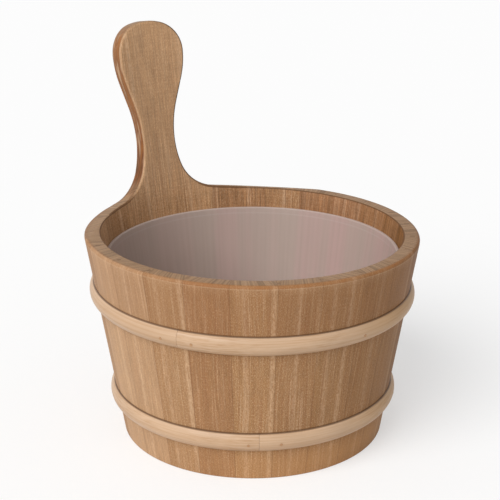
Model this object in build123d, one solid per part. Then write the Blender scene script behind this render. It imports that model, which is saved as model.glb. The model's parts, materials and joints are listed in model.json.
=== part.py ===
"""A wooden piggin: a coopered pail with one tall stave for a handle, and a lift-out liner.

Millimetres, +Z up. The origin is on the pail's axis, at the plane that it stands on.
The handle stave is at +Y, and its paddle leans outward with the wall.
"""
from build123d import *
from math import cos, radians, sin
import os

# Body of the pail: both radii are of its outside.
rim_radius = 120.0
foot_radius = 95.4
rim_height = 149.2
wall = 11.6
rim_outer_round = 2.5
rim_inner_round = 1.0
foot_round = 1.2

# The rim and the handle are cut together, a little out of level with the foot.
rim_slant = 1.0
rim_low_side = -19.0

# Handle outline, drawn on the flat of its board: heights run up the board from the rim.
neck_half_width = 14.9
neck_height = 42.0
paddle_half_width = 29.0
upper_hollow_radius = 80.5
swell_radius = 65.0
swell_turn = 19.0
corner_radius = 23.5
corner_turn = 75.0
lower_hollow_radius = 69.5
lower_hollow_turn = 18.7
flare_radius = 31.2
flare_turn = 61.9
tail_length = 20.0
tail_end_radius = 120.0
tail_end_turn = 15.0
handle_round = 2.0

# Staves: the handle stave's width is an angle. The others share what is left of the turn,
# counted anticlockwise from the handle stave, as seen from above.
handle_stave_angle = 43.0
stave_width_shares = [17.0] * 4 + [15.0, 14.5, 15.0, 15.0, 14.5, 15.5, 15.0] + [15.5, 15.0] * 4 + [22.5]
tongue_width = 3.0
tongue_length = 2.4
joint_gap = 0.1

# Head: the bottom boards, let into a groove near the foot of the staves that is called the croze.
head_underside = 11.0
head_thickness = 10.0
head_boards = 4
croze_width = 5.2
croze_depth = 4.0
head_gap = 0.3

# Hoops: half-round strips bent round the staves, butted end to end and pinned with brads.
hoop_height = 14.0
hoop_thickness = 4.3
hoop_flank = 0.3
hoop_gap = 0.1
hoop_end_gap = 0.15
upper_hoop_top = 113.4
upper_hoop_slant = 1.1
upper_hoop_low_side = -55.0
upper_hoop_joint = 206.0
upper_brad_turns = [-6.0, 5.2, 65.0, 136.0, 204.0, 272.0]
lower_hoop_top = 37.5
lower_hoop_slant = 0.0
lower_hoop_low_side = 0.0
lower_hoop_joint = 233.6
lower_brad_turns = [-4.0, 8.2, 76.0, 146.0, 216.0, 286.0]
brad_length = 12.0
brad_shank_radius = 0.6
brad_head_radius = 1.0
brad_head_thickness = 0.8
brad_proud = 0.15

# Liner: a thin moulded pot that stands on the head, close inside the wall.
liner_top = 133.6
liner_wall = 1.4
liner_floor = 1.8
liner_lip_height = 4.2
liner_lip_wall = 2.4
liner_lip_round = 0.6
liner_gap = 0.3
liner_side_gap = 1.0
liner_corner_round = 8.0

# What follows from the sizes above. Cutting tools run past what they cut by the overrun.
overrun = wall / 2
shared_face_tolerance = joint_gap / 100
wall_slope = (rim_radius - foot_radius) / rim_height
lean = Vector(0, wall_slope, 1).get_angle(Vector(0, 0, 1))
blank_height = rim_height + neck_height + upper_hollow_radius + paddle_half_width
handle_azimuth = 90.0
turn_per_share = (360 - handle_stave_angle) / sum(stave_width_shares)
croze_bottom = head_underside + (head_thickness - croze_width) / 2
head_top = head_underside + head_thickness


def outer_radius(z):
    """Radius of the pail's outside at height z."""
    return foot_radius + wall_slope * z


def inner_radius(z):
    """Radius of the pail's inside at height z."""
    return outer_radius(z) - wall


def turned(*corners):
    """A solid of revolution about the pail's axis, from its corners as (radius, height)."""
    return revolve(Plane.XZ * make_face(Polyline(*corners, close=True)), Axis.Z)


def slanted(shape, slant, low_side, height):
    """The shape tipped down towards its low side, about the point of the axis at that height."""
    hinge = (-sin(radians(low_side)), cos(radians(low_side)), 0)
    return shape.rotate(Axis((0, 0, height), hinge), slant)


def blank():
    """The wall as one turned piece, carried on upward to hold the handle too."""
    return turned(
        (inner_radius(0), 0),
        (outer_radius(0), 0),
        (outer_radius(blank_height), blank_height),
        (inner_radius(blank_height), blank_height),
    )


def edges_on(solid, radius_at, lowest):
    """A solid's edges that lie on one face of the wall and all above the lowest height."""

    def fits(edge):
        points = [edge @ 0, edge @ 0.5, edge @ 1]
        on_face = all(abs(Vector(p.X, p.Y).length - radius_at(p.Z)) < joint_gap for p in points)
        return on_face and all(p.Z > lowest for p in points)

    return solid.edges().filter_by(fits)


def handle_side():
    """Half of the handle's outline, from the middle of its top down to where its tail enters the rim."""
    neck = Vector(neck_half_width, neck_height)
    upper_hollow = JernArc(neck, (0, 1), upper_hollow_radius, -swell_turn)
    turned_in = 1 - cos(radians(swell_turn))
    spread = paddle_half_width - neck_half_width - (upper_hollow_radius + swell_radius) * turned_in
    shoulder_end = upper_hollow @ 1 + (upper_hollow % 1) * (spread / sin(radians(swell_turn)))
    shoulder = Line(upper_hollow @ 1, shoulder_end)
    swell = JernArc(shoulder @ 1, shoulder % 1, swell_radius, swell_turn)
    corner = JernArc(swell @ 1, (0, 1), corner_radius, corner_turn)
    crown_turn = 90 - corner_turn
    crown = JernArc(corner @ 1, corner % 1, (corner @ 1).X / sin(radians(crown_turn)), crown_turn)
    lower_hollow = JernArc(neck, (0, -1), lower_hollow_radius, lower_hollow_turn)
    flare = JernArc(lower_hollow @ 1, lower_hollow % 1, flare_radius, flare_turn)
    tail = Line(flare @ 1, flare @ 1 + (flare % 1) * tail_length)
    tail_end = JernArc(tail @ 1, tail % 1, tail_end_radius, -tail_end_turn)
    return [crown, corner, swell, shoulder, upper_hollow, lower_hollow, flare, tail, tail_end]


def handle_board():
    """The flat of the handle's board: X runs across it and Y up it."""
    return Plane(
        origin=(0, rim_radius, rim_height),
        x_dir=(-1, 0, 0),
        z_dir=(0, cos(radians(lean)), -sin(radians(lean))),
    )


def handle(wall_blank):
    """The handle with its flared tails, cut from the blank square to its board, with rounded edges."""
    side = handle_side()
    tail_tip = side[-1] @ 1
    drop = Vector(tail_tip.X, tail_tip.Y - flare_radius)
    right = side + [Line(tail_tip, drop)]
    left = [edge.mirror(Plane.YZ) for edge in right]
    outline = make_face(Wire(right + left + [Line(drop, Vector(-drop.X, drop.Y))]))
    cutter = extrude(handle_board() * outline, amount=rim_radius / 2, both=True)
    raw = wall_blank & slanted(cutter, rim_slant, rim_low_side, rim_height)
    raw = raw.solids().sort_by(SortBy.VOLUME)[-1]
    lowest = rim_height + tail_tip.Y - overrun
    for radius_at in (outer_radius, inner_radius):
        raw = fillet(edges_on(raw, radius_at, lowest), handle_round).solids()[0]
    return raw


def pail_wall(wall_blank):
    """The wall below the rim, with its edges rounded and the croze cut."""
    width = 4 * rim_radius
    keep = Box(width, width, rim_height * 2, align=(Align.CENTER, Align.CENTER, Align.MAX))
    keep = slanted(Pos(0, 0, rim_height) * keep, rim_slant, rim_low_side, rim_height)
    pail = (wall_blank & keep).solids()[0]
    pail = fillet(edges_on(pail, outer_radius, rim_height / 2), rim_outer_round).solids()[0]
    pail = fillet(edges_on(pail, inner_radius, rim_height / 2), rim_inner_round).solids()[0]
    foot_edges = [e for e in edges_on(pail, outer_radius, -overrun) if (e @ 0.5).Z < overrun]
    pail = fillet(foot_edges, foot_round).solids()[0]
    croze_radius = inner_radius(croze_bottom) + croze_depth
    croze_top = croze_bottom + croze_width
    return pail - turned(
        (inner_radius(0) - overrun, croze_bottom),
        (croze_radius, croze_bottom),
        (croze_radius, croze_top),
        (inner_radius(0) - overrun, croze_top),
    )


def planed_beside_tails(shell):
    """The wall with the outer part of its rim planed down beside the handle, in line with each tail."""
    tail = handle_side()[-2]
    far = tail @ 0 + (tail % 0) * 2 * rim_radius
    above = Vector(0, 2 * rim_radius)
    right = make_face(Polyline(tail @ 0, far, far + above, tail @ 0 + above, close=True))
    for half in (right, mirror(right, Plane.YZ)):
        waste = extrude(handle_board() * half, amount=rim_radius, both=True)
        shell = shell - slanted(waste, rim_slant, rim_low_side, rim_height)
    return shell.solids().sort_by(SortBy.VOLUME)[-1]


def brad_places(middle, slant, low_side, joint, turns):
    """Where a hoop's brads go in: on the staves' face at the hoop's middle, square to the wall."""
    places = []
    for turn in turns:
        azimuth = radians(joint + turn)
        drop = outer_radius(middle) * sin(radians(slant)) * cos(azimuth - radians(low_side))
        around = Vector(cos(azimuth), sin(azimuth))
        foot = around * outer_radius(middle - drop) + Vector(0, 0, middle - drop)
        places.append(Location(Plane(origin=foot, z_dir=around - Vector(0, 0, wall_slope))))
    return places


def brad(room=0.0):
    """One brad standing on the staves' face, or with some room around it, the hole that it fills."""
    top = Pos(0, 0, hoop_thickness + brad_proud)
    hanging = (Align.CENTER, Align.CENTER, Align.MAX)
    shank = Cylinder(brad_shank_radius + room, brad_length + room, align=hanging)
    head = Cylinder(brad_head_radius + room, brad_head_thickness + room, align=hanging)
    return (top * shank + top * head).solids()[0]


def hoop(top, slant, low_side, joint, holes):
    """A half-round strip round the wall, seated on its slope, with a butt joint and its brad holes."""
    bottom = top - hoop_height
    middle = (top + bottom) / 2
    outward = Vector(1, -wall_slope).normalized()
    upper = Vector(outer_radius(top) + hoop_gap, top)
    lower = Vector(outer_radius(bottom) + hoop_gap, bottom)
    crown = Vector(outer_radius(middle) + hoop_gap, middle) + outward * hoop_thickness
    upper_brow = upper + outward * hoop_flank
    lower_brow = lower + outward * hoop_flank
    back_depth = outward * hoop_thickness
    back = Polyline(upper_brow, upper - back_depth, lower - back_depth, lower_brow)
    section = make_face(Wire([ThreePointArc(lower_brow, crown, upper_brow)] + back.edges()))
    # Tipped about this height, the ring stays against the cone of the wall.
    ring_hinge = middle + wall_slope * outer_radius(middle)
    ring = slanted(revolve(Plane.XZ * section, Axis.Z), slant, low_side, ring_hinge)
    ring = ring - turned(
        (0, 0),
        (outer_radius(0) + hoop_gap, 0),
        (outer_radius(rim_height) + hoop_gap, rim_height),
        (0, rim_height),
    )
    slot = Box(2 * rim_radius, hoop_end_gap, 2 * rim_height, align=(Align.MIN, Align.CENTER, Align.CENTER))
    ring = ring - Rot(0, 0, joint) * slot
    for hole in holes:
        ring = ring - hole
    return ring.solids().sort_by(SortBy.VOLUME)[-1]


def seam_plate(azimuth, width, length, start):
    """A plate that stands on a seam at mid wall and follows its slope, reaching on from the start."""
    top = rim_height + flare_radius
    middle = wall / 2
    corners = [
        (outer_radius(-overrun) - middle - width / 2, -overrun),
        (outer_radius(-overrun) - middle + width / 2, -overrun),
        (outer_radius(top) - middle + width / 2, top),
        (outer_radius(top) - middle - width / 2, top),
    ]
    along = Vector(cos(radians(azimuth)), sin(radians(azimuth)))
    across = Vector(sin(radians(azimuth)), -cos(radians(azimuth)))
    seam = Plane(origin=across * -start, x_dir=along, z_dir=across)
    return extrude(seam * make_face(Polyline(*corners, close=True)), amount=-length)


def stave(shell, start, end):
    """One stave: its sector of the shell, with a groove at its first seam and a tongue at its last."""
    reach = 4 * rim_radius
    corners = [(0, 0)]
    for azimuth in (start, (start + end) / 2, end):
        corners.append((reach * cos(radians(azimuth)), reach * sin(radians(azimuth))))
    sector = make_face(Polyline(*corners, close=True))
    wedge = Pos(0, 0, -overrun) * extrude(sector, amount=2 * blank_height)
    groove = seam_plate(start, tongue_width + 2 * joint_gap, tongue_length + joint_gap + overrun, -overrun)
    tongue = seam_plate(end, tongue_width, tongue_length + overrun, -overrun)
    body = (shell & wedge) - groove
    return (body + (shell & tongue)).solids().sort_by(SortBy.VOLUME)[-1]


def staves(shell):
    """All staves by name, anticlockwise from the handle stave."""
    start = handle_azimuth - handle_stave_angle / 2
    end = handle_azimuth + handle_stave_angle / 2
    pieces = {"handle_stave": stave(shell, start, end)}
    for number, share in enumerate(stave_width_shares, 1):
        start, end = end, end + share * turn_per_share
        pieces[f"stave_{number:02d}"] = stave(shell, start, end)
    return pieces


def head():
    """The head's boards by name, tongued together, with the edge thinned to enter the croze."""
    lip_bottom = croze_bottom + joint_gap
    lip_top = croze_bottom + croze_width - joint_gap
    lip_radius = inner_radius(croze_bottom) + croze_depth - head_gap
    disc = turned(
        (0, head_underside),
        (inner_radius(head_underside) - head_gap, head_underside),
        (inner_radius(lip_bottom) - head_gap, lip_bottom),
        (lip_radius, lip_bottom),
        (lip_radius, lip_top),
        (inner_radius(lip_top) - head_gap, lip_top),
        (inner_radius(head_top) - head_gap, head_top),
        (0, head_top),
    )
    width = 2 * lip_radius / head_boards
    length = 3 * rim_radius
    middle = (lip_bottom + lip_top) / 2
    pieces = {}
    for number in range(head_boards):
        near = number * width - lip_radius
        board = disc & Pos(0, near + width / 2, middle) * Box(length, width, length)
        if number > 0:
            groove = Box(length, 2 * (tongue_length + joint_gap), tongue_width + 2 * joint_gap)
            board = board - Pos(0, near, middle) * groove
        if number < head_boards - 1:
            tongue = Box(length, 2 * tongue_length, tongue_width)
            board = board + (disc & Pos(0, near + width, middle) * tongue)
        pieces[f"bottom_board_{number + 1}"] = board.solids().sort_by(SortBy.VOLUME)[-1]
    return pieces


def liner():
    """The moulded pot, open at the top, with a thicker lip that centres it in the wall."""
    floor = head_top + liner_gap
    lip_foot = liner_top - liner_lip_height
    pot = turned(
        (0, floor),
        (inner_radius(floor) - liner_side_gap, floor),
        (inner_radius(lip_foot) - liner_side_gap, lip_foot),
        (inner_radius(lip_foot) - liner_gap, lip_foot),
        (inner_radius(liner_top) - liner_gap, liner_top),
        (inner_radius(liner_top) - liner_gap - liner_lip_wall, liner_top),
        (inner_radius(lip_foot) - liner_gap - liner_lip_wall, lip_foot),
        (inner_radius(floor + liner_floor) - liner_side_gap - liner_wall, floor + liner_floor),
        (0, floor + liner_floor),
    )
    outer_corner = pot.edges().filter_by(lambda e: abs((e @ 0.5).Z - floor) < joint_gap)
    pot = fillet(outer_corner, liner_corner_round)
    inner_corner = pot.edges().filter_by(lambda e: abs((e @ 0.5).Z - floor - liner_floor) < joint_gap)
    pot = fillet(inner_corner, liner_corner_round - liner_wall)
    lip_edges = pot.edges().filter_by(lambda e: abs((e @ 0.5).Z - liner_top) < joint_gap)
    return fillet(lip_edges, liner_lip_round).solids()[0]


def build():
    """Every piece of the piggin by name."""
    upper = (upper_hoop_top, upper_hoop_slant, upper_hoop_low_side, upper_hoop_joint)
    lower = (lower_hoop_top, lower_hoop_slant, lower_hoop_low_side, lower_hoop_joint)
    hoop_facts = {"upper_hoop": (upper, upper_brad_turns), "lower_hoop": (lower, lower_brad_turns)}
    wall_blank = blank()
    shell = pail_wall(wall_blank).fuse(handle(wall_blank), tol=shared_face_tolerance)
    shell = planed_beside_tails(shell)
    pieces = {}
    brads = []
    for name, (facts, turns) in hoop_facts.items():
        places = brad_places(facts[0] - hoop_height / 2, *facts[1:], turns)
        holes = [place * brad(joint_gap) for place in places]
        brads += [place * brad() for place in places]
        pieces[name] = hoop(*facts, holes)
        for hole in holes:
            shell = shell - hole
    pieces.update(staves(shell))
    pieces.update(head())
    pieces["hoop_brads"] = Compound(children=brads)
    pieces["liner"] = liner()
    return pieces


if __name__ == "__main__":
    os.makedirs("parts", exist_ok=True)
    for name, piece in build().items():
        export_step(piece, f"parts/{name}.step")
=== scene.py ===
"""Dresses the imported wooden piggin: planed staves, half-round hoops, brads and a frosted liner.

Metres, +Z up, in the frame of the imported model: the pail stands on Z = 0 round the Z axis, and its handle is at +Y.
"""
import json
import math

import bpy
import numpy as np
from mathutils import Matrix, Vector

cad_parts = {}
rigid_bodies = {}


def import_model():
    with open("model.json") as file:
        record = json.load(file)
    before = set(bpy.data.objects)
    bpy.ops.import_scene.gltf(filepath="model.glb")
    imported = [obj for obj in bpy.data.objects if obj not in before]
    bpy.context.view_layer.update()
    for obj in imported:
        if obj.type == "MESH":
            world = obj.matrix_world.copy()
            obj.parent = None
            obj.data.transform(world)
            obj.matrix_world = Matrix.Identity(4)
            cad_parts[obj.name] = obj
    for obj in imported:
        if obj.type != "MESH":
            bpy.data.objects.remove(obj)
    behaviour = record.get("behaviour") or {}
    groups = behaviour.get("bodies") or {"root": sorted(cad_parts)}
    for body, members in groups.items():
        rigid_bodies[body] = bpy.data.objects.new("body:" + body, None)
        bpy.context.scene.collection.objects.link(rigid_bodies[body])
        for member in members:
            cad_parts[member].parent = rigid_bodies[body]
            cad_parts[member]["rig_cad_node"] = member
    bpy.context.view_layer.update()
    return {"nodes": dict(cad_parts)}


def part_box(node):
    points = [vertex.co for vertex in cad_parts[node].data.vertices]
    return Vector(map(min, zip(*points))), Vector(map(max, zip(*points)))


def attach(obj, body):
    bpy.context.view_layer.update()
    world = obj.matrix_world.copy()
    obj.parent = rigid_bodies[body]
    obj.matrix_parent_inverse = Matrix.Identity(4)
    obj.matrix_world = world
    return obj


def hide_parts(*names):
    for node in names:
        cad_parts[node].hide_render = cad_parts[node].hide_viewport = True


bl_info = {
    "name": "Wooden piggin",
    "version": (1, 0, 0),
    "blender": (4, 5, 0),
    "location": "View3D > Sidebar > Piggin",
    "description": "Makes the staves, hoops, brads and liner of a coopered pail, and the studio round it",
    "category": "Object",
}

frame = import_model()

MM = 0.001
PI = math.pi

# The wall, as the model has it: a cone with its outside at these radii, and the rim tipped a little.
RIM_RADIUS = 120 * MM
FOOT_RADIUS = 95.4 * MM
RIM_HEIGHT = 149.2 * MM
WALL_SLOPE = (RIM_RADIUS - FOOT_RADIUS) / RIM_HEIGHT
LINER_TOP = 133.6 * MM
HANDLE_AZIMUTH = 90.0
HANDLE_ANGLE = 43.0
# The way that the handle's outer face looks, as y and z.
HANDLE_OUTWARDS = (0.987, -0.163)

# Widths of the other staves in degrees, anticlockwise from the handle stave, seen from above.
STAVE_ANGLES = [17.0] * 4 + [15.0, 14.5, 15.0, 15.0, 14.5, 15.5, 15.0] + [15.5, 15.0] * 4 + [22.5]

# How each stave came out of its log: slant of its rings in degrees, lightness, redness, and the places of a strong
# and a weak pale streak. Lightness and redness are steps either side of the common colour: a darker board leans to
# the deep colour, and one that is less red leans to the sapwood's. They are partly each board's own tone and partly
# painted light and shade: the staves on the side away from the key light are darker and redder, those towards it are
# paler and less red, and the handle stave is lighter where the key light hardly reaches its face. A streak's place is
# its share of the stave's width.
NO_STREAK = -0.5
STAVE_BOARDS = {
    "handle_stave": (12, 1.0, -0.1, 0.70, 0.22),
    "stave_01": (-20, 0.7, 0.0, 0.35, NO_STREAK),
    "stave_02": (25, 0.8, -0.1, NO_STREAK, 0.60),
    "stave_03": (-10, 0.3, 0.0, 0.55, NO_STREAK),
    "stave_04": (15, 0.25, -0.4, NO_STREAK, 0.75),
    "stave_05": (-25, 0.08, -0.35, 0.40, NO_STREAK),
    "stave_06": (20, -0.02, -0.1, 0.93, 0.32),
    "stave_07": (-12, -0.05, 0.2, NO_STREAK, NO_STREAK),
    "stave_08": (10, 0.12, 0.0, 0.92, 0.30),
    "stave_09": (-18, 0.0, 0.05, NO_STREAK, 0.50),
    "stave_10": (22, -0.08, 0.05, 0.72, 0.30),
    "stave_11": (-15, -0.25, 0.1, NO_STREAK, 0.60),
    "stave_12": (8, -0.4, 0.1, 0.90, NO_STREAK),
    "stave_13": (-22, -0.95, 0.5, NO_STREAK, 0.15),
    "stave_14": (14, -0.85, 0.5, 0.25, 0.80),
    "stave_15": (-9, -0.4, 0.4, NO_STREAK, 0.50),
    "stave_16": (24, -0.2, 0.4, 0.35, NO_STREAK),
    "stave_17": (-16, 0.0, 0.4, 0.60, 0.10),
    "stave_18": (11, -0.1, 0.4, NO_STREAK, 0.85),
    "stave_19": (-21, 0.1, 0.1, 0.45, NO_STREAK),
    "stave_20": (17, 0.0, 0.2, 0.30, 0.90),
}
HEAD_BOARDS = 4
# How far the grain of each stave, and of each board of the head, is moved on from the last one's, in metres.
STAVE_SHIFT = (0.113, 0.071, 0.217)
HEAD_SHIFT = (0.137, 0.083, 0.191)
# Farther than any seam, streak or wall reaches.
FAR = 1.0

# Each hoop: azimuth of its joint, how far it leans and towards which azimuth, in degrees, and a shift of its grain.
HOOPS = {"upper_hoop": (206.0, 1.1, -55.0, 0.31), "lower_hoop": (233.6, 0.0, 0.0, 0.73)}
# Where the middle of each hoop's upper edge meets the staves.
HOOP_TOPS = {"upper_hoop": 113.4 * MM, "lower_hoop": 37.5 * MM}

# Depths below the wall's outside between which its inside begins.
INSIDE = (9.0 * MM, 10.0 * MM)
# Level directions as x and y: to the side of the pail away from the key light, towards which warm shade and light on
# the foot are painted, and to its back.
AWAY_FROM_KEY = (0.78, -0.63)
BACK = (0.63, 0.78)

# Corners nearer to each other than this are one.
WELD_GAP = 0.002 * MM
# Edges that turn by more than this stay sharp, in degrees: on boards, and on round pieces.
BOARD_CREASE = 32
ROUND_CREASE = 40

# The camera: its azimuth in degrees, and its metres from the pail's axis and up from the floor. It faces nearly to the
# axis, by its heading in degrees, and looks 19 degrees down, here in radians as its roll is.
CAMERA_AZIMUTH = 231.2
CAMERA_DISTANCE = 0.9207
CAMERA_HEIGHT = 0.44926
CAMERA_HEADING = 51.32
CAMERA_DIP = 0.3307
CAMERA_ROLL = -0.0012
# Its sensor's width in millimetres, the floor's in metres, and how widely the key light spreads, in degrees.
SENSOR_WIDTH = 36
FLOOR_SIZE = 30
KEY_SPREAD = 45

# A Map Range node's sockets are the value, where it starts and ends, and the levels there. It goes straight from one
# to the other, or with this eases in and out.
SMOOTH = {"interpolation_type": "SMOOTHSTEP"}


def linear(hex_colour):
    """An sRGB hex colour as linear RGBA."""
    values = [int(hex_colour[i:i + 2], 16) / 255 for i in (1, 3, 5)]
    return [v / 12.92 if v <= 0.04045 else ((v + 0.055) / 1.055) ** 2.4 for v in values] + [1.0]


def only(piece):
    """Selects this object and nothing else, and makes it active."""
    bpy.ops.object.select_all(action="DESELECT")
    piece.hide_set(False)
    piece.select_set(True)
    bpy.context.view_layer.objects.active = piece


def welded_copy(node, name, crease):
    """A copy of a CAD node with its loose triangles joined and its curved faces smooth, which stands for the node."""
    only(frame["nodes"][node])
    bpy.ops.object.duplicate()
    piece = bpy.context.object
    piece.name = name
    piece.data.name = name
    piece.parent = None
    del piece["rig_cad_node"]
    bpy.ops.object.mode_set(mode="EDIT")
    bpy.ops.mesh.select_all(action="SELECT")
    bpy.ops.mesh.remove_doubles(threshold=WELD_GAP)
    bpy.ops.mesh.customdata_custom_splitnormals_clear()
    bpy.ops.object.mode_set(mode="OBJECT")
    bpy.ops.object.shade_smooth_by_angle(angle=math.radians(crease))
    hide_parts(node)
    return piece


def finish_piece(piece, material, body):
    """Gives a piece its material and the body that it moves with."""
    piece.data.materials.clear()
    piece.data.materials.append(material)
    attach(piece, body)


def corners_of(piece):
    """The places of a piece's vertices, as rows of x, y and z."""
    places = np.empty(len(piece.data.vertices) * 3)
    piece.data.vertices.foreach_get("co", places)
    return places.reshape(-1, 3)


def lay(piece, name, columns):
    """Keeps three numbers for each vertex as a named attribute, for a pattern to follow."""
    attribute = piece.data.attributes.new(name, "FLOAT_VECTOR", "POINT")
    rows = np.column_stack([np.broadcast_to(c, len(piece.data.vertices)) for c in columns])
    attribute.data.foreach_set("vector", rows.astype(np.float32).ravel())


class PigginWood(bpy.types.PropertyGroup):
    """Colours and grain of the staves."""

    colour: bpy.props.StringProperty(
        name="Colour", description="Common colour of the planed wood, sRGB hex", default="#9B754F")
    late_wood: bpy.props.StringProperty(
        name="Late wood", description="Colour of the darker grain lines, sRGB hex", default="#86593A")
    sapwood: bpy.props.StringProperty(
        name="Sapwood", description="Colour of the pale streaks, sRGB hex", default="#C7A584")
    # The red and deep colours carry both the boards' own tones and painted shade on the staves away from the key light.
    red_wood: bpy.props.StringProperty(
        name="Red wood", description="Colour that the redder staves lean to, sRGB hex", default="#8F6046")
    deep_wood: bpy.props.StringProperty(
        name="Deep wood", description="Colour that the darker staves lean to, sRGB hex", default="#8A5C26")
    end_grain: bpy.props.StringProperty(
        name="End grain", description="Colour of cut ends, sRGB hex", default="#97795D")
    side_grain: bpy.props.StringProperty(
        name="Side grain", description="Colour of the handle's sawn edges, sRGB hex", default="#704328")
    burnished: bpy.props.StringProperty(
        name="Burnished edge", description="Colour of rounded edges that the cutter rubbed, sRGB hex",
        default="#9E6636")
    # Painted light: the lighter, more orange colour that the foot leans to
    oiled: bpy.props.StringProperty(
        name="Oiled foot", description="Colour that the foot leans to, sRGB hex", default="#CE9A66")
    # Colour of scorched edges and glue lines, and also of painted shade: inside below the rim, on the handle's arrises
    # and along the hoops.
    scorched: bpy.props.StringProperty(
        name="Scorched edge", description="Colour of edges that the cutter darkened, sRGB hex", default="#5E4029")
    ring_spacing: bpy.props.FloatProperty(
        name="Ring spacing", description="Usual width of a growth ring", default=1.6 * MM,
        subtype="DISTANCE", unit="LENGTH")


class PigginHoops(bpy.types.PropertyGroup):
    """Colours of the hoops and their brads."""

    colour: bpy.props.StringProperty(
        name="Colour", description="Common colour of the peeled strip, sRGB hex", default="#C2A487")
    grain: bpy.props.StringProperty(
        name="Grain", description="Colour of the fine lines along the strip, sRGB hex", default="#A67E57")
    # Painted warm shade on the hoops' side away from the key light
    yellowed: bpy.props.StringProperty(
        name="Yellowed", description="Colour that the sunned side leans to, sRGB hex", default="#A07228")
    # Painted shade along the strip's edges, where they meet the staves
    corner: bpy.props.StringProperty(
        name="Corner", description="Colour of the dust along the strip's edges, sRGB hex", default="#4C3019")
    wire: bpy.props.StringProperty(
        name="Wire", description="Colour of the brads' heads, sRGB hex", default="#A47A56")
    worn_wire: bpy.props.StringProperty(
        name="Worn wire", description="Colour of the lighter spots on the heads, sRGB hex", default="#C39A72")


class PigginLiner(bpy.types.PropertyGroup):
    """Look of the liner."""

    colour: bpy.props.StringProperty(
        name="Colour", description="Colour of the frosted plastic, sRGB hex", default="#CDB8AE")
    warm: bpy.props.StringProperty(
        name="Warm band", description="Where redder wood shows through, sRGB hex", default="#D2B5AE")
    cool: bpy.props.StringProperty(
        name="Cool band", description="Where greyer wood shows through, sRGB hex", default="#C7B6AB")
    # Painted highlight on the lip's edges
    rubbed: bpy.props.StringProperty(
        name="Rubbed lip", description="Colour of the edges that catch the light, sRGB hex", default="#EFE6E1")
    cover: bpy.props.FloatProperty(
        name="Cover", description="How much of what lies behind the liner hides", default=0.58,
        min=0, max=1, subtype="FACTOR")


class PigginStudio(bpy.types.PropertyGroup):
    """Light, floor and camera."""

    sky: bpy.props.FloatProperty(
        name="Sky", description="Strength of the even light from all round", default=0.42)
    key: bpy.props.FloatProperty(
        name="Key", description="Strength of the soft key light", default=2.6)
    key_azimuth: bpy.props.FloatProperty(
        name="Key azimuth", description="Where the key light stands, anticlockwise from +X",
        default=math.radians(196), subtype="ANGLE", unit="ROTATION")
    key_height: bpy.props.FloatProperty(
        name="Key height", description="Angle of the key light above the floor",
        default=math.radians(40), subtype="ANGLE", unit="ROTATION")
    paper: bpy.props.StringProperty(
        name="Paper", description="Colour that the floor shows, sRGB hex", default="#FFFFFF")
    thrown: bpy.props.StringProperty(
        name="Thrown light", description="Colour of the light that the floor throws back, sRGB hex",
        default="#F1EFEC")
    lens: bpy.props.FloatProperty(
        name="Lens", description="Focal length of the camera in millimetres", default=97.27,
        subtype="DISTANCE_CAMERA", unit="CAMERA")


def new_material(name):
    """An empty material by this name, and its tree of nodes."""
    material = bpy.data.materials.new(name)
    material.use_nodes = True
    material.node_tree.nodes.clear()
    return material, material.node_tree


def add_node(tree, kind, sockets=(), **settings):
    """One shader node with its settings and links.

    Its sockets come in order, or by name or number in a dictionary: a node is linked by its first output, an output
    as it is, and anything else is the socket's value.
    """
    node = tree.nodes.new("ShaderNode" + kind)
    for name, value in settings.items():
        setattr(node, name, value)
    for name, value in (sockets if isinstance(sockets, dict) else dict(enumerate(sockets))).items():
        if isinstance(value, bpy.types.Node):
            value = value.outputs[0]
        if isinstance(value, bpy.types.NodeSocket):
            tree.links.new(value, node.inputs[name])
        else:
            node.inputs[name].default_value = value
    return node


def layered(tree, colour, *layers):
    """Lays colours over the first one in turn, each with its share from 0 to 1."""
    for share, over in layers:
        over = linear(over) if isinstance(over, str) else over
        colour = add_node(tree, "Mix", {0: share, 6: colour, 7: over}, data_type="RGBA").outputs[2]
    return colour


def shaded(tree, colour, level):
    """Makes a colour lighter or darker by a level, where 1 leaves it as it is."""
    grey = add_node(tree, "CombineColor", (level, level, level)).outputs[0]
    return add_node(tree, "Mix", {0: 1.0, 6: colour, 7: grey}, data_type="RGBA", blend_type="MULTIPLY").outputs[2]


def varied(tree, level, pattern, amount):
    """Raises and lowers a level by a pattern whose middle is a half."""
    step = add_node(tree, "Math", (pattern, 0.5), operation="SUBTRACT")
    return add_node(tree, "Math", (step, amount, level), operation="MULTIPLY_ADD")


def where(tree, *shares):
    """How far all of these shares, from 0 to 1, hold at once: their product."""
    whole, *others = shares
    for share in others:
        whole = add_node(tree, "Math", (whole, share), operation="MULTIPLY")
    return whole


def towards(tree, first, second, direction):
    """How far two coordinates reach in a direction, which has a number for each of them."""
    part = add_node(tree, "Math", (first, direction[0]), operation="MULTIPLY")
    return add_node(tree, "Math", (second, direction[1], part), operation="MULTIPLY_ADD")


def band(tree, value, low, rise, fall, high):
    """1 between rise and fall, easing to 0 at low and high."""
    up = add_node(tree, "MapRange", (value, low, rise, 0.0, 1.0), **SMOOTH)
    down = add_node(tree, "MapRange", (value, fall, high, 1.0, 0.0), **SMOOTH)
    return where(tree, up, down)


def stretched_noise(tree, place, size_mm, detail=2.0, roughness=0.5):
    """A noise pattern whose grains have this size in millimetres along each of the place's three directions."""
    put = add_node(tree, "Mapping", {"Vector": place, "Scale": [1 / (size * MM) for size in size_mm]})
    return add_node(tree, "TexNoise", {"Vector": put, "Scale": 1.0, "Detail": detail, "Roughness": roughness})


def attribute_parts(tree, name):
    """The three numbers of a named attribute, one by one."""
    return add_node(tree, "SeparateXYZ", (add_node(tree, "Attribute", attribute_name=name).outputs["Vector"],)).outputs


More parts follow.
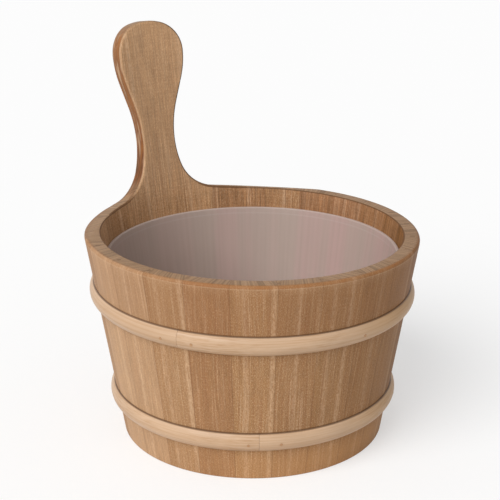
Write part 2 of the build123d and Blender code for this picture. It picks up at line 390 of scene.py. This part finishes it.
def alder_grain(tree, wood, board, seams, cut):
    """Fine straight grain: soft rings and bands, short fibres and pale flecks.

    Gives the colour, rings, fibres and flecks. Real fibres and pores are about a tenth of a millimetre wide, which is
    too fine to show, so the fibres, flecks and strokes are drawn 0.5 to 0.8 mm wide.
    """
    across, through, along = add_node(tree, "SeparateXYZ", (board,)).outputs
    # Place among the rings: across the board turned by the slant of its rings, and wandering a little along it
    wander = stretched_noise(tree, board, (40, 40, 130), detail=1.0)
    lean = towards(tree, across, through, cut)
    ring = add_node(tree, "Math", (wander, 7 * MM, lean), operation="MULTIPLY_ADD")
    ring_place = add_node(tree, "CombineXYZ", (ring, 0.0, along))
    rings = stretched_noise(tree, ring_place, (wood.ring_spacing / MM, 1, 300))
    bands = stretched_noise(tree, ring_place, (9, 1, 260))
    fibres = stretched_noise(tree, board, (0.75, 0.75, 8), roughness=0.6)
    flecks = stretched_noise(tree, board, (0.5, 0.5, 1.3), detail=1.0, roughness=0.6)
    # Thin pale and dark lines that run the board's length and fade in and out
    lines = stretched_noise(tree, ring_place, (1.3, 1, 70))
    pale_line = add_node(tree, "MapRange", (lines, 0.53, 0.70, 0.0, 0.6))
    pale_dash = add_node(tree, "MapRange", (flecks, 0.35, 0.60, 0.4, 1.0))
    colour = layered(
        tree, linear(wood.colour),
        (add_node(tree, "MapRange", (rings, 0.42, 0.80, 0.0, 0.30)), wood.late_wood),
        (add_node(tree, "MapRange", (bands, 0.54, 0.84, 0.0, 0.30)), wood.sapwood),
        (add_node(tree, "MapRange", (bands, 0.20, 0.44, 0.22, 0.0)), wood.late_wood),
        (where(tree, pale_line, pale_dash), wood.sapwood),
        (add_node(tree, "MapRange", (lines, 0.30, 0.47, 0.45, 0.0)), wood.late_wood),
        (add_node(tree, "MapRange", (flecks, 0.50, 0.70, 0.0, 0.50)), wood.sapwood),
        (add_node(tree, "MapRange", (flecks, 0.30, 0.48, 0.40, 0.0)), wood.late_wood),
    )
    # Two pale streaks of each board, a strong and a weak one, made of short strokes. They wander by 1 mm to either
    # side.
    strokes = stretched_noise(tree, board, (0.8, 0.8, 3.0), roughness=0.6)
    stroke = add_node(tree, "MapRange", (strokes, 0.38, 0.62, 0.15, 1.0))
    for distance, strength in ((seams[2], 0.7), (cut[2], 0.45)):
        nearer = add_node(tree, "Math", (distance, 1 * MM), operation="SUBTRACT")
        wandered = add_node(tree, "Math", (wander, 2 * MM, nearer), operation="MULTIPLY_ADD")
        near = add_node(tree, "Math", (wandered,), operation="ABSOLUTE")
        streak = add_node(tree, "MapRange", (near, 0.2 * MM, 2.8 * MM, strength, 0.0), **SMOOTH)
        colour = layered(tree, colour, (where(tree, streak, stroke), wood.sapwood))
    return colour, rings, fibres, flecks


def handle_edges(tree, wood, colour, facing, height, depth, handle):
    """The handle's sawn edges: redder and streaked along their length, with a painted highlight on the left front arris
    and painted shade on the right arrises and the back ones.
    """
    square = towards(tree, facing[1], facing[2], HANDLE_OUTWARDS)
    flat = add_node(tree, "Math", (square,), operation="ABSOLUTE")
    sawn = where(tree, handle, add_node(tree, "MapRange", (flat, 0.45, 0.75, 1.0, 0.0), **SMOOTH))
    left = add_node(tree, "MapRange", (facing[0], 0.0, 0.15, 1.0, 0.0), **SMOOTH)
    right = add_node(tree, "MapRange", (facing[0], 0.0, 0.15, 0.0, 1.0), **SMOOTH)
    # The painted shade on the right arris reaches farther on to the face than the band on the left one.
    narrow = band(tree, flat, 0.30, 0.50, 0.86, 0.96)
    wide = where(tree, right, band(tree, flat, 0.30, 0.50, 0.95, 0.993))
    arris = where(tree, handle, add_node(tree, "Math", (narrow, wide), operation="MAXIMUM"))
    front_highlight = add_node(tree, "MapRange", (square, -0.1, 0.1, 0.35, 0.0), **SMOOTH)
    back_shade = add_node(tree, "MapRange", (square, -0.1, 0.1, 0.0, 0.65), **SMOOTH)
    dark = add_node(tree, "Math", (back_shade, where(tree, right, 0.95)), operation="MAXIMUM")
    # Streaks along the sawn edge, and finer ones where the tails were burnt
    edge_place = add_node(tree, "CombineXYZ", (depth, 0.0, height))
    streaks = stretched_noise(tree, edge_place, (3.2, 1, 26), roughness=0.6)
    fine = stretched_noise(tree, edge_place, (1.5, 1, 12), roughness=0.6)
    redder = add_node(tree, "MapRange", (height, RIM_HEIGHT + 25 * MM, RIM_HEIGHT + 80 * MM, 1.0, 0.76), **SMOOTH)
    tail = add_node(tree, "MapRange", (height, RIM_HEIGHT + 20 * MM, RIM_HEIGHT + 44 * MM, 1.0, 0.0), **SMOOTH)
    return layered(
        tree, colour,
        (where(tree, sawn, redder), wood.side_grain),
        (where(tree, sawn, add_node(tree, "MapRange", (streaks, 0.49, 0.60, 0.0, 0.6))), wood.burnished),
        (where(tree, sawn, add_node(tree, "MapRange", (streaks, 0.37, 0.48, 0.6, 0.0))), wood.sapwood),
        (where(tree, sawn, tail, add_node(tree, "MapRange", (fine, 0.46, 0.58, 0.1, 0.9))), wood.scorched),
        # Painted highlight on the left front arris, and painted shade on the back arrises and the right ones
        (where(tree, arris, left, front_highlight), wood.sapwood),
        (where(tree, arris, dark), wood.scorched),
    )


def hoop_lines(tree, wood, colour, place, depth):
    """Painted contact shadow: a dark line on the staves along each hoop's upper edge."""
    x, y, z = add_node(tree, "SeparateXYZ", (place,)).outputs
    outside = add_node(tree, "MapRange", (depth, 0.5 * MM, 1.5 * MM, 1.0, 0.0), **SMOOTH)
    for node, top in HOOP_TOPS.items():
        slant, low_side = (math.radians(angle) for angle in HOOPS[node][1:3])
        drop = towards(tree, x, y, (math.tan(slant) * math.cos(low_side), math.tan(slant) * math.sin(low_side)))
        level = add_node(tree, "Math", (z, drop), operation="ADD")
        line = band(tree, level, top - 1.2 * MM, top - 0.4 * MM, top + 0.2 * MM, top + 0.9 * MM)
        colour = layered(tree, colour, (where(tree, outside, line, 0.7), wood.scorched))
    return colour


def rim_edges(tree, wood, colour, facing, place, depth, body):
    """The rim's and foot's rounded edges: orange here and there outside with a painted highlight as a pale line below,
    and dark inside; and painted light on the foot.
    """
    x, y, z = add_node(tree, "SeparateXYZ", (place,)).outputs
    outside = where(tree, body, add_node(tree, "MapRange", (depth, 2.4 * MM, 3.6 * MM, 1.0, 0.0), **SMOOTH))
    inside = where(tree, body, add_node(tree, "MapRange", (depth, 8.6 * MM, 10.2 * MM, 0.0, 1.0), **SMOOTH))
    # Edges by the way that they look: upwards, downwards, level and, inside, nearly straight up
    rim = band(tree, facing[2], 0.12, 0.30, 0.86, 0.96)
    foot = band(tree, facing[2], -0.96, -0.85, -0.40, -0.22)
    level_highlight = band(tree, facing[2], -0.14, -0.08, 0.06, 0.14)
    inner_rim = band(tree, facing[2], 0.25, 0.42, 0.90, 0.985)
    # The edges were rubbed in patches, less on the side towards the key light. Painted light: the foot is lighter and
    # more orange, least so on the side towards the key light.
    away_from_key = towards(tree, x, y, AWAY_FROM_KEY)
    side = add_node(tree, "MapRange", (away_from_key, -100 * MM, -30 * MM, 0.35, 1.0), **SMOOTH)
    worn = stretched_noise(tree, place, (30, 30, 30), detail=3.0)
    patches = add_node(tree, "MapRange", (worn, 0.38, 0.66, 0.05, 0.6))
    rounded = add_node(tree, "Math", (rim, foot), operation="MAXIMUM")
    foot_light = add_node(tree, "MapRange", (away_from_key, -70 * MM, 60 * MM, 0.0, 0.36), **SMOOTH)
    low = add_node(tree, "MapRange", (z, 10 * MM, 34 * MM, 1.0, 0.0), **SMOOTH)
    # Near the rim the wood is darker from handling, and behind, beside the handle, the outer edge was burnt dark.
    handled = add_node(tree, "MapRange", (z, 88 * MM, 124 * MM, 0.0, 0.24), **SMOOTH)
    behind = add_node(tree, "MapRange", (towards(tree, x, y, BACK), -35 * MM, 45 * MM, 0.0, 0.9), **SMOOTH)
    return layered(
        tree, colour,
        (where(tree, outside, side, patches, rounded), wood.burnished),
        # Painted light on the foot
        (where(tree, outside, foot_light, low), wood.oiled),
        (where(tree, outside, handled), wood.late_wood),
        (where(tree, outside, rim, behind), wood.scorched),
        # Painted highlight: a pale line where the rounded edge turns level
        (where(tree, outside, level_highlight, 0.3), wood.sapwood),
        (where(tree, inside, inner_rim, 0.85), wood.scorched),
    )


def worked_surfaces(tree, wood, colour, rings, flecks, depth):
    """What the tools left, and painted light and shade: a sanded handle, painted shade inside, grey cut ends, and
    rounded edges rubbed or burnt, with painted highlights and shade on some.
    """
    facing = add_node(tree, "SeparateXYZ", (add_node(tree, "TexCoord").outputs["Normal"],)).outputs
    place = add_node(tree, "TexCoord").outputs["Object"]
    height = add_node(tree, "SeparateXYZ", (place,)).outputs[2]
    up = add_node(tree, "Math", (facing[2],), operation="ABSOLUTE")
    handle = add_node(tree, "MapRange", (height, RIM_HEIGHT + 2 * MM, RIM_HEIGHT + 10 * MM, 0.0, 1.0), **SMOOTH)
    body = add_node(tree, "Math", (1.0, handle), operation="SUBTRACT")
    # The handle's face was sanded paler, from a little below the rim upwards.
    face = add_node(tree, "MapRange", (facing[1], -0.95, -0.80, 0.26, 0.0), **SMOOTH)
    sanded = add_node(tree, "MapRange", (height, RIM_HEIGHT - 12 * MM, RIM_HEIGHT + 22 * MM, 0.0, 1.0), **SMOOTH)
    # Inside, below the rim, shade is painted on the wood.
    inside = add_node(tree, "MapRange", (depth, *INSIDE, 0.0, 1.0), **SMOOTH)
    unlit = add_node(tree, "MapRange", (height, RIM_HEIGHT - 30 * MM, RIM_HEIGHT + 4 * MM, 0.26, 0.0), **SMOOTH)
    colour = layered(
        tree, colour,
        (where(tree, sanded, face), wood.sapwood),
        (where(tree, inside, unlit), wood.scorched),
    )
    colour = handle_edges(tree, wood, colour, facing, height, depth, handle)
    # Cut ends show their rings as darker lines, and fine flecks.
    ring_shade = add_node(tree, "MapRange", (rings, 0.36, 0.62, 0.62, 1.22))
    fleck_shade = add_node(tree, "MapRange", (flecks, 0.3, 0.7, 0.84, 1.16))
    end_colour = shaded(tree, linear(wood.end_grain), where(tree, ring_shade, fleck_shade))
    level_ends = add_node(tree, "MapRange", (up, 0.80, 0.97, 0.0, 0.85), **SMOOTH)
    handle_ends = add_node(tree, "MapRange", (up, 0.45, 0.80, 0.0, 0.5), **SMOOTH)
    ends = add_node(tree, "Math", (level_ends, where(tree, handle, handle_ends)), operation="MAXIMUM")
    colour = layered(tree, colour, (ends, end_colour))
    colour = hoop_lines(tree, wood, colour, place, depth)
    return rim_edges(tree, wood, colour, facing, place, depth, body)


def planed_alder(wood):
    """Planed red alder, oiled: fine straight grain, faint darker rings, pale streaks and flecks, a soft low sheen."""
    material, tree = new_material("planed_alder")
    board = add_node(tree, "Attribute", attribute_name="board").outputs["Vector"]
    seams, cut, (lightness, redness, depth) = (attribute_parts(tree, name) for name in ("seams", "cut", "tone"))
    colour, rings, fibres, flecks = alder_grain(tree, wood, board, seams, cut)
    # Lighter, darker and redder boards: partly each board's own tone, partly painted light and shade
    less_red = add_node(tree, "Math", (redness, -1.0), operation="MULTIPLY")
    darker = add_node(tree, "Math", (lightness, -0.8), operation="MULTIPLY")
    for lean, tone in ((redness, wood.red_wood), (less_red, wood.sapwood), (darker, wood.deep_wood)):
        colour = layered(tree, colour, (add_node(tree, "Math", (lean, 0.0), operation="MAXIMUM"), tone))
    level = add_node(tree, "Math", (lightness, 0.25, 1.03), operation="MULTIPLY_ADD")
    level = varied(tree, level, stretched_noise(tree, board, (14, 14, 45)), 0.22)
    level = varied(tree, level, fibres, 0.62)
    # Inside, and on the handle's face, the lines of the grain are stronger, and sanding left marks across them.
    lines = stretched_noise(tree, board, (1.1, 1.1, 26), roughness=0.6)
    lines = varied(tree, lines, stretched_noise(tree, board, (14, 14, 1.1), detail=1.0), 0.24)
    level = varied(tree, level, lines, add_node(tree, "MapRange", (depth, *INSIDE, 0.0, 1.6), **SMOOTH))
    colour = worked_surfaces(tree, wood, shaded(tree, colour, level), rings, flecks, depth)
    # Glue line between the staves
    seam = add_node(tree, "Math", (seams[0], seams[1]), operation="MINIMUM")
    glue = add_node(tree, "MapRange", (seam, 0.1 * MM, 0.45 * MM, 0.3, 0.0), **SMOOTH)
    colour = layered(tree, colour, (glue, wood.scorched))
    roughness = add_node(tree, "MapRange", (fibres, 0.3, 0.7, 0.46, 0.60))
    fleck_height = where(tree, flecks, 0.3)
    height = add_node(tree, "Math", (fibres, 0.7, fleck_height), operation="MULTIPLY_ADD")
    bump = add_node(tree, "Bump", {"Strength": 0.35, "Distance": 0.12 * MM, "Height": height})
    shader = add_node(tree, "BsdfPrincipled", {
        "Base Color": colour, "Roughness": roughness, "Specular IOR Level": 0.1, "Normal": bump})
    add_node(tree, "OutputMaterial", {"Surface": shader})
    return material


def peeled_strip(hoops):
    """Half-round strip of peeled pale wood: smooth, satin, with fine long lines and a soft low sheen.

    The real lines are a few tenths of a millimetre apart, which is too fine to show, so they are drawn 0.9 to 1.3 mm
    wide.
    """
    material, tree = new_material("peeled_strip")
    strip = add_node(tree, "Attribute", attribute_name="strip").outputs["Vector"]
    lines = stretched_noise(tree, strip, (90, 1.3, 1.3), detail=3.0, roughness=0.6)
    bands = stretched_noise(tree, strip, (220, 4.5, 4.5), detail=1.0)
    # Bristly straw-like lines where the strip was cut across its grain, in some stretches only
    straws = stretched_noise(tree, strip, (12, 0.9, 0.9), roughness=0.6)
    stretches = stretched_noise(tree, strip, (60, 60, 60), detail=1.0)
    straw = add_node(tree, "MapRange", (straws, 0.45, 0.70, 0.0, 0.6))
    stretch = add_node(tree, "MapRange", (stretches, 0.44, 0.60, 0.15, 1.0))
    # Painted warm shade: the strips lean to a deeper ochre on the side away from the key light.
    x, y = add_node(tree, "SeparateXYZ", (add_node(tree, "TexCoord").outputs["Object"],)).outputs[:2]
    warm_shade = add_node(tree, "MapRange", (towards(tree, x, y, AWAY_FROM_KEY), 55 * MM, 112 * MM, 0.0, 0.48), **SMOOTH)
    colour = layered(
        tree, linear(hoops.colour),
        (add_node(tree, "MapRange", (lines, 0.44, 0.72, 0.0, 0.55)), hoops.grain),
        (where(tree, straw, stretch), hoops.grain),
        (add_node(tree, "MapRange", (bands, 0.45, 0.75, 0.0, 0.30)), hoops.grain),
        (warm_shade, hoops.yellowed),
    )
    colour = shaded(tree, colour, varied(tree, 1.04, stretched_noise(tree, strip, (26, 9, 9)), 0.22))
    # Painted shade in the corner against the staves
    out = add_node(tree, "SeparateXYZ", (strip,)).outputs[2]
    corner_shade = add_node(tree, "MapRange", (out, 0.7 * MM, 1.3 * MM, 0.75, 0.0), **SMOOTH)
    colour = layered(tree, colour, (corner_shade, hoops.corner))
    bump = add_node(tree, "Bump", {"Strength": 0.5, "Distance": 0.2 * MM, "Height": lines})
    shader = add_node(tree, "BsdfPrincipled", {
        "Base Color": colour, "Roughness": 0.42, "Specular IOR Level": 0.3, "Normal": bump})
    add_node(tree, "OutputMaterial", {"Surface": shader})
    return material


def frosted_polypropylene(liner):
    """Natural polypropylene, moulded and frosted: milky, so the wood shows through it as soft upright bands.

    The frosting's grit is a few hundredths of a millimetre, which is too fine to show, so it is drawn at 0.9 mm.
    """
    material, tree = new_material("frosted_polypropylene")
    place = add_node(tree, "TexCoord").outputs["Object"]
    height = add_node(tree, "SeparateXYZ", (place,)).outputs[2]
    facing = add_node(tree, "SeparateXYZ", (add_node(tree, "TexCoord").outputs["Normal"],)).outputs
    up = add_node(tree, "Math", (facing[2],), operation="ABSOLUTE")
    side = add_node(tree, "MapRange", (up, 0.5, 0.8, 1.0, 0.0), **SMOOTH)
    wall = add_node(tree, "Attribute", attribute_name="wall").outputs["Vector"]
    redness = attribute_parts(tree, "wall")[1]
    grain_place = add_node(tree, "Mapping", {"Vector": wall, "Scale": (1.0, 0.0, 1.0)})
    bands = stretched_noise(tree, grain_place, (15, 1, 600), detail=1.0)
    grain = stretched_noise(tree, grain_place, (3.2, 1, 120))
    dark_cool = [value * 0.8 for value in linear(liner.cool)[:3]] + [1.0]
    # Painted highlights: the lip's top edge, and the step where the lip ends, are lighter where they catch the light.
    top = add_node(tree, "MapRange", (height, LINER_TOP - 1.1 * MM, LINER_TOP - 0.5 * MM, 0.0, 0.14), **SMOOTH)
    step = band(tree, height, LINER_TOP - 5.0 * MM, LINER_TOP - 4.5 * MM, LINER_TOP - 4.0 * MM, LINER_TOP - 3.5 * MM)
    colour = layered(
        tree, linear(liner.colour),
        (where(tree, side, add_node(tree, "MapRange", (redness, 0.05, 0.35, 0.0, 1.0), **SMOOTH)), liner.warm),
        (where(tree, side, add_node(tree, "MapRange", (bands, 0.38, 0.60, 0.7, 0.0))), liner.cool),
        (where(tree, side, add_node(tree, "MapRange", (grain, 0.42, 0.72, 0.0, 0.28))), dark_cool),
        (add_node(tree, "Math", (top, where(tree, step, 0.10)), operation="MAXIMUM"), liner.rubbed),
    )
    grit = add_node(tree, "TexNoise", {"Vector": place, "Scale": 1 / (0.9 * MM), "Detail": 1.0})
    bump = add_node(tree, "Bump", {"Strength": 0.15, "Distance": 0.05 * MM, "Height": grit})
    shader = add_node(tree, "BsdfPrincipled", {
        "Base Color": colour, "Roughness": 0.38, "IOR": 1.49, "Alpha": liner.cover, "Normal": bump})
    add_node(tree, "OutputMaterial", {"Surface": shader})
    return material


def dulled_wire(hoops):
    """Small round heads of steel wire gone brown: dark and hardly shiny.

    The brown spots are too fine to show, so they are drawn at 0.8 mm.
    """
    material, tree = new_material("dulled_wire")
    place = add_node(tree, "TexCoord").outputs["Object"]
    spots = add_node(tree, "TexNoise", {"Vector": place, "Scale": 1 / (0.8 * MM), "Detail": 2.0})
    colour = layered(tree, linear(hoops.wire), (spots, hoops.worn_wire))
    shader = add_node(tree, "BsdfPrincipled", {"Base Color": colour, "Roughness": 0.6, "Metallic": 0.35})
    add_node(tree, "OutputMaterial", {"Surface": shader})
    return material


def seen_ray(tree):
    """1 for a ray that shows the surroundings to the eye, straight, in a gloss or through the plastic."""
    path = add_node(tree, "LightPath").outputs
    mirrored = add_node(tree, "Math", (path["Is Glossy Ray"], path["Is Transmission Ray"]), operation="MAXIMUM")
    return add_node(tree, "Math", (path["Is Camera Ray"], mirrored), operation="MAXIMUM")


def paper_sweep(studio):
    """Matt paper sweep: near white to the eye, and a softer grey to the light that it throws back on the object."""
    material, tree = new_material("paper_sweep")
    paper = add_node(tree, "BsdfDiffuse", {"Color": linear(studio.paper)})
    glow = add_node(tree, "Emission", {"Color": linear(studio.paper), "Strength": 1.0})
    seen = add_node(tree, "MixShader", (0.5, paper, glow))
    thrown = add_node(tree, "BsdfDiffuse", {"Color": linear(studio.thrown)})
    shader = add_node(tree, "MixShader", (seen_ray(tree), thrown, seen))
    add_node(tree, "OutputMaterial", {"Surface": shader})
    return material


def ready_material(make, settings):
    """A material, which is made the first time that it is asked for and named as its function is."""
    return bpy.data.materials.get(make.__name__) or make(settings)


def stave_sectors():
    """Each stave's node with the azimuths of its two seams, anticlockwise from the handle stave."""
    start, end = HANDLE_AZIMUTH - HANDLE_ANGLE / 2, HANDLE_AZIMUTH + HANDLE_ANGLE / 2
    sectors = {"handle_stave": (start, end)}
    for number, angle in enumerate(STAVE_ANGLES, 1):
        start, end = end, end + angle
        sectors[f"stave_{number:02d}"] = (start, end)
    return sectors


def redness_behind(around):
    """How red the stave is at each azimuth, for what shows through the liner."""
    redness = np.zeros(len(around))
    for node, (start, end) in stave_sectors().items():
        inside = (np.degrees(around) - start) % 360 < end - start
        redness[inside] = STAVE_BOARDS[node][2]
    return redness


def give_stave_grain(piece, node, number):
    """Lays a stave's own board over it, so that its grain follows its taper and differs from its neighbours'.

    "board" holds the place on the board, "seams" the distances from both seams and from the strong streak, "cut" the
    way that the rings run and the distance from the weak streak, and "tone" the lightness, redness and depth.
    """
    slant, lightness, redness, first_streak, second_streak = STAVE_BOARDS[node]
    start, end = stave_sectors()[node]
    x, y, z = corners_of(piece).T
    turn = np.arctan2(y, x) - math.radians((start + end) / 2)
    turn = (turn + PI) % (2 * PI) - PI
    outer = FOOT_RADIUS + WALL_SLOPE * z
    half = math.radians(end - start) / 2
    through = outer - np.hypot(x, y)
    board = zip((turn * outer, through, z), STAVE_SHIFT)
    lay(piece, "board", [column + number * shift for column, shift in board])
    width = 2 * half * outer
    from_left, from_right = (half + turn) * outer, (half - turn) * outer
    lay(piece, "seams", (from_left, from_right, from_left - first_streak * width))
    ring_turn = math.radians(slant)
    lay(piece, "cut", (math.cos(ring_turn), math.sin(ring_turn), from_left - second_streak * width))
    lay(piece, "tone", (lightness, redness, through))


class PIGGIN_OT_staves(bpy.types.Operator):
    """Dresses the twenty staves of the wall, each with the grain of its own board"""

    bl_idname = "piggin.staves"
    bl_label = "Staves"

    def execute(self, context):
        wood = ready_material(planed_alder, context.scene.piggin_wood)
        for number in range(1, len(STAVE_ANGLES) + 1):
            node = f"stave_{number:02d}"
            piece = welded_copy(node, node + "_planed", BOARD_CREASE)
            give_stave_grain(piece, node, number)
            finish_piece(piece, wood, "pail")
        return {"FINISHED"}


class PIGGIN_OT_handle_stave(bpy.types.Operator):
    """Dresses the wide stave that carries the handle"""

    bl_idname = "piggin.handle_stave"
    bl_label = "Handle stave"

    def execute(self, context):
        wood = ready_material(planed_alder, context.scene.piggin_wood)
        piece = welded_copy("handle_stave", "handle_stave_planed", BOARD_CREASE)
        give_stave_grain(piece, "handle_stave", len(STAVE_ANGLES) + 1)
        finish_piece(piece, wood, "pail")
        return {"FINISHED"}


class PIGGIN_OT_bottom_boards(bpy.types.Operator):
    """Dresses the boards of the head, whose grain runs from side to side"""

    bl_idname = "piggin.bottom_boards"
    bl_label = "Bottom boards"

    def execute(self, context):
        wood = ready_material(planed_alder, context.scene.piggin_wood)
        for number in range(1, HEAD_BOARDS + 1):
            node = f"bottom_board_{number}"
            piece = welded_copy(node, node + "_planed", BOARD_CREASE)
            low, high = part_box(node)
            x, y, z = corners_of(piece).T
            lay(piece, "board", [column + number * shift for column, shift in zip((y, z, x), HEAD_SHIFT)])
            # With its seams taken 1 mm outside the board, no glue line shows.
            lay(piece, "seams", (y - low.y + MM, high.y - y + MM, FAR))
            # Every other board is turned over, and a little lighter.
            side = (-1) ** number
            ring_turn = math.radians(15 * side)
            lay(piece, "cut", (math.cos(ring_turn), math.sin(ring_turn), FAR))
            lay(piece, "tone", (0.1 * side, 0.1, FAR))
            finish_piece(piece, wood, "pail")
        return {"FINISHED"}


class PIGGIN_OT_hoops(bpy.types.Operator):
    """Dresses the two half-round hoops, with their grain running round the pail"""

    bl_idname = "piggin.hoops"
    bl_label = "Hoops"

    def execute(self, context):
        strip = ready_material(peeled_strip, context.scene.piggin_hoops)
        for node, (joint, slant, low_side, offset) in HOOPS.items():
            piece = welded_copy(node, node + "_peeled", ROUND_CREASE)
            low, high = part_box(node)
            x, y, z = corners_of(piece).T
            around = np.arctan2(y, x)
            turn = (around - math.radians(joint)) % (2 * PI)
            middle = (low.z + high.z) / 2
            radius = FOOT_RADIUS + WALL_SLOPE * middle
            drop = radius * math.sin(math.radians(slant)) * np.cos(around - math.radians(low_side))
            out = np.hypot(x, y) - (FOOT_RADIUS + WALL_SLOPE * z)
            lay(piece, "strip", (turn * radius + offset, z - middle + drop + offset, out))
            finish_piece(piece, strip, "pail")
        return {"FINISHED"}


class PIGGIN_OT_brads(bpy.types.Operator):
    """Dresses the brads that pin the hoops"""

    bl_idname = "piggin.brads"
    bl_label = "Brads"

    def execute(self, context):
        wire = ready_material(dulled_wire, context.scene.piggin_hoops)
        piece = welded_copy("hoop_brads", "hoop_brads_wire", ROUND_CREASE)
        finish_piece(piece, wire, "pail")
        return {"FINISHED"}


class PIGGIN_OT_liner(bpy.types.Operator):
    """Dresses the frosted liner that lifts out"""

    bl_idname = "piggin.liner"
    bl_label = "Liner"

    def execute(self, context):
        plastic = ready_material(frosted_polypropylene, context.scene.piggin_liner)
        piece = welded_copy("liner", "liner_moulded", ROUND_CREASE)
        x, y, z = corners_of(piece).T
        around = np.arctan2(y, x)
        lay(piece, "wall", (around * RIM_RADIUS, redness_behind(around), z))
        finish_piece(piece, plastic, "liner")
        return {"FINISHED"}


class PIGGIN_OT_studio(bpy.types.Operator):
    """Lays the pale floor and sets the soft light and the camera"""

    bl_idname = "piggin.studio"
    bl_label = "Studio"

    def execute(self, context):
        studio = context.scene.piggin_studio
        bpy.ops.object.select_all(action="DESELECT")
        bpy.ops.mesh.primitive_plane_add(size=FLOOR_SIZE, location=(0, 0, 0))
        floor = context.object
        floor.name = "floor"
        floor.data.materials.append(ready_material(paper_sweep, studio))
        # White to the eye, and a plain even light to the object
        world = bpy.data.worlds.new("studio")
        context.scene.world = world
        world.use_nodes = True
        tree = world.node_tree
        tree.nodes.clear()
        strength = add_node(tree, "Math", (seen_ray(tree), studio.sky), operation="MAXIMUM")
        light = add_node(tree, "Background", {"Color": (1, 1, 1, 1), "Strength": strength})
        add_node(tree, "OutputWorld", {"Surface": light})
        bpy.ops.object.light_add(type="SUN", location=(0, 0, 2))
        key = context.object
        key.name = "key"
        key.data.energy = studio.key
        key.data.angle = math.radians(KEY_SPREAD)
        key.rotation_euler = (PI / 2 - studio.key_height, 0, studio.key_azimuth + PI / 2)
        stand = math.radians(CAMERA_AZIMUTH)
        x, y = CAMERA_DISTANCE * math.cos(stand), CAMERA_DISTANCE * math.sin(stand)
        bpy.ops.object.camera_add(location=(x, y, CAMERA_HEIGHT))
        camera = context.object
        camera.name = "camera"
        camera.data.lens = studio.lens
        camera.data.sensor_width = SENSOR_WIDTH
        heading = Matrix.Rotation(math.radians(CAMERA_HEADING) - PI / 2, 4, "Z")
        dip = Matrix.Rotation(PI / 2 - CAMERA_DIP, 4, "X")
        camera.rotation_euler = (heading @ dip @ Matrix.Rotation(CAMERA_ROLL, 4, "Z")).to_euler()
        context.scene.camera = camera
        context.scene.view_settings.view_transform = "Standard"
        return {"FINISHED"}


class PIGGIN_PT_panel(bpy.types.Panel):
    """Lists the pieces of the piggin"""

    bl_idname = "PIGGIN_PT_panel"
    bl_label = "Wooden piggin"
    bl_space_type = "VIEW_3D"
    bl_region_type = "UI"
    bl_category = "Piggin"

    def draw(self, context):
        for name in GROUPS:
            settings = getattr(context.scene, name)
            box = self.layout.box()
            for field in settings.bl_rna.properties:
                if not field.is_readonly and field.identifier != "name":
                    box.prop(settings, field.identifier)
        for operator in OPERATORS:
            self.layout.operator(operator.bl_idname)


OPERATORS = (
    PIGGIN_OT_studio,
    PIGGIN_OT_staves,
    PIGGIN_OT_handle_stave,
    PIGGIN_OT_bottom_boards,
    PIGGIN_OT_hoops,
    PIGGIN_OT_brads,
    PIGGIN_OT_liner,
)
GROUPS = {
    "piggin_wood": PigginWood,
    "piggin_hoops": PigginHoops,
    "piggin_liner": PigginLiner,
    "piggin_studio": PigginStudio,
}


def register():
    """Registers the settings, the operators and the panel."""
    for name, group in GROUPS.items():
        bpy.utils.register_class(group)
        setattr(bpy.types.Scene, name, bpy.props.PointerProperty(type=group))
    for operator in OPERATORS:
        bpy.utils.register_class(operator)
    bpy.utils.register_class(PIGGIN_PT_panel)


def unregister():
    """Takes them away again."""
    bpy.utils.unregister_class(PIGGIN_PT_panel)
    for operator in reversed(OPERATORS):
        bpy.utils.unregister_class(operator)
    for name, group in GROUPS.items():
        delattr(bpy.types.Scene, name)
        bpy.utils.unregister_class(group)


def main():
    register()
    bpy.ops.piggin.studio()
    bpy.ops.piggin.staves()
    bpy.ops.piggin.handle_stave()
    bpy.ops.piggin.bottom_boards()
    bpy.ops.piggin.hoops()
    bpy.ops.piggin.brads()
    bpy.ops.piggin.liner()


if __name__ == "__main__":
    main()
